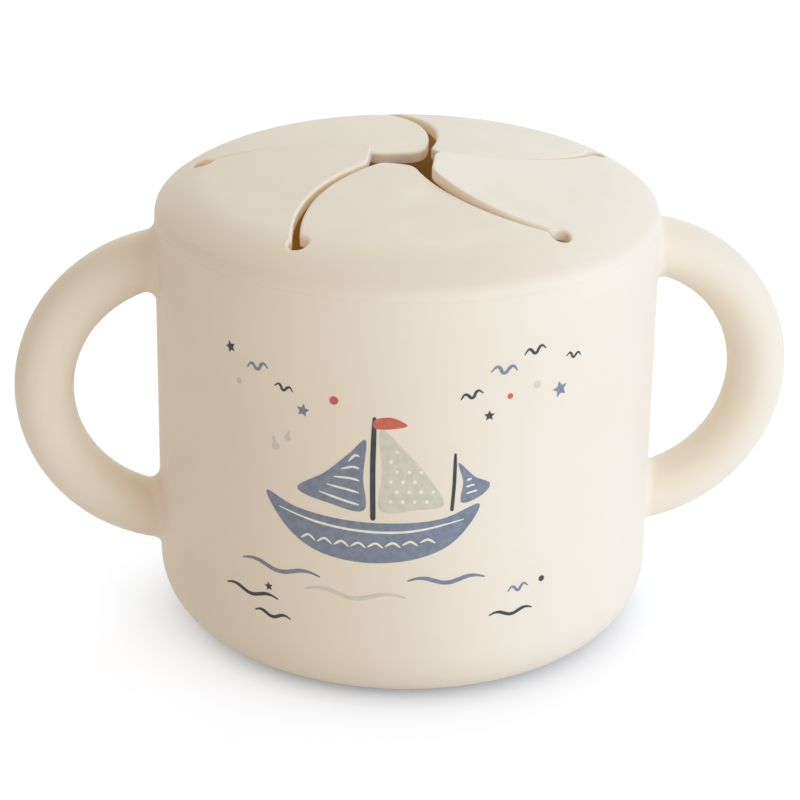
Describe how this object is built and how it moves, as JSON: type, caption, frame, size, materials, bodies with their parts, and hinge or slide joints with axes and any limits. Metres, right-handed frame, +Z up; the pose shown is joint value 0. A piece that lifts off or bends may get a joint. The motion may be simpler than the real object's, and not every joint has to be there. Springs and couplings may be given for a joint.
{
  "type": "toddler snack container",
  "caption": "Squat silicone snack cup with two ring handles and a press-in domed lid, slit in a pinwheel into soft flaps that let a small hand in.",
  "frame": {"origin": "middle of the underside, in the plane of the foot ring that the cup stands on", "axes": "+Z up, +X along the two handles, -Y towards the front flap"},
  "size_m": [0.1384, 0.088, 0.0844],
  "materials": {
    "silicone": "matte",
    "print": "matte"
  },
  "bodies": {
    "cup": {"cup": "silicone"},
    "lid": {"lid": "silicone"},
    "flap_front": {"flap_front": "silicone"},
    "flap_right": {"flap_right": "silicone"},
    "flap_back_right": {"flap_back_right": "silicone"},
    "flap_back_left": {"flap_back_left": "silicone"},
    "flap_left": {"flap_left": "silicone"}
  },
  "joints": [
    {"name": "lid_lift", "type": "slide", "parent": "cup", "child": "lid", "axis": [0, 0, 1], "range_m": [0, 0.04]},
    {"name": "flap_front_bend", "type": "hinge", "parent": "lid", "child": "flap_front", "pos_m": [0, -0.02977, 0.0802], "axis": [-1, 0, 0], "range_deg": [-25, 65], "stiffness_Nm_per_rad": 0.02},
    {"name": "flap_right_bend", "type": "hinge", "parent": "lid", "child": "flap_right", "pos_m": [0.02831, -0.0092, 0.0802], "axis": [-0.309, -0.9511, 0], "range_deg": [-25, 65], "stiffness_Nm_per_rad": 0.02},
    {"name": "flap_back_right_bend", "type": "hinge", "parent": "lid", "child": "flap_back_right", "pos_m": [0.0175, 0.02409, 0.0802], "axis": [0.809, -0.5878, 0], "range_deg": [-25, 65], "stiffness_Nm_per_rad": 0.02},
    {"name": "flap_back_left_bend", "type": "hinge", "parent": "lid", "child": "flap_back_left", "pos_m": [-0.0175, 0.02409, 0.0802], "axis": [0.809, 0.5878, 0], "range_deg": [-25, 65], "stiffness_Nm_per_rad": 0.02},
    {"name": "flap_left_bend", "type": "hinge", "parent": "lid", "child": "flap_left", "pos_m": [-0.02831, -0.0092, 0.0802], "axis": [-0.309, 0.9511, 0], "range_deg": [-25, 65], "stiffness_Nm_per_rad": 0.02}
  ]
}
